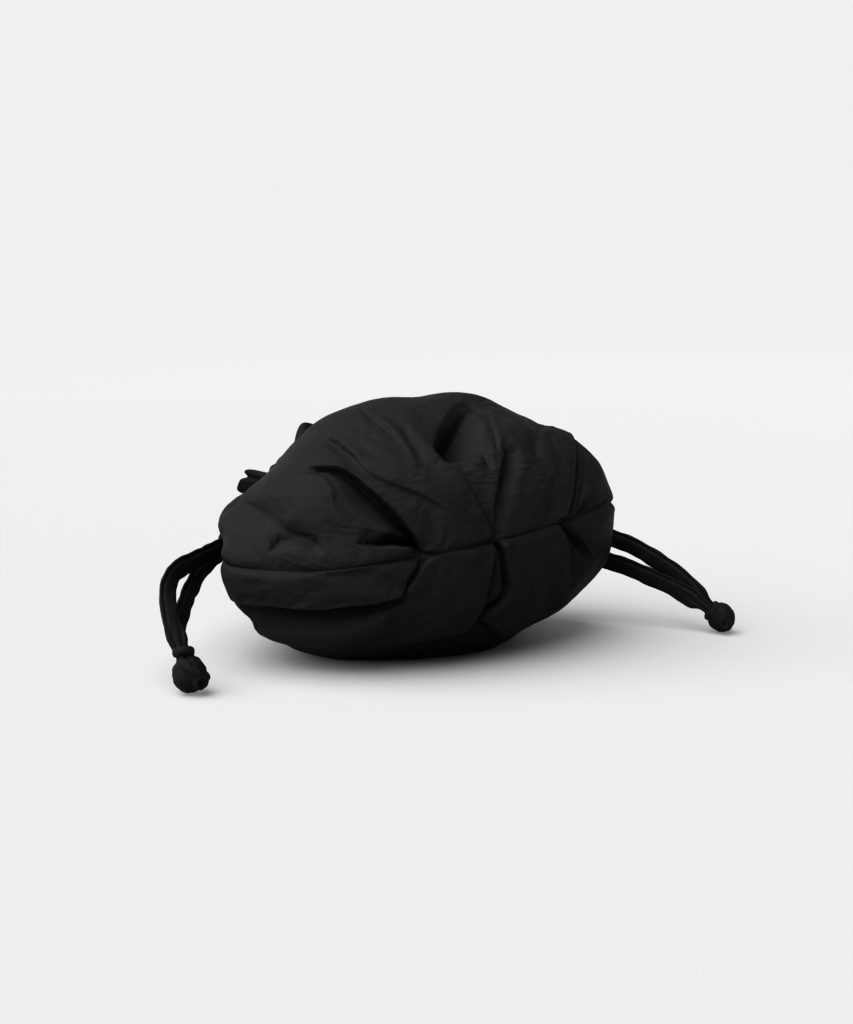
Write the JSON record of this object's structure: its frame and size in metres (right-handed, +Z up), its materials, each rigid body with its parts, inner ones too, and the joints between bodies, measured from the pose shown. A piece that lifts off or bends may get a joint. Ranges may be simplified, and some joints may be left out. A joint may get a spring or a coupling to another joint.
{
  "type": "pouch bag",
  "caption": "Soft drawstring pouch bag lying on its side, with a gathered, ruffled mouth behind and knotted drawstrings at left and right.",
  "frame": {"origin": "middle of the body's box, on the surface that the bag lies on", "axes": "+Z up, +X along the bag's width, the bottom seam faces -Y and the mouth faces +Y"},
  "size_m": [0.3821, 0.2124, 0.1583],
  "materials": {
    "body_nylon": "matt crinkled black nylon",
    "cord_nylon": "matt black nylon tube, stitched along its edge"
  },
  "bodies": {
    "root": {"upper_panel": "body_nylon", "lower_panel": "body_nylon", "mouth_channel": "body_nylon", "mouth_ruffle": "body_nylon", "left_knot": "cord_nylon", "right_knot": "cord_nylon", "left_strand_1": "cord_nylon", "left_strand_2": "cord_nylon", "right_strand_1": "cord_nylon", "right_strand_2": "cord_nylon"}
  },
  "joints": []
}
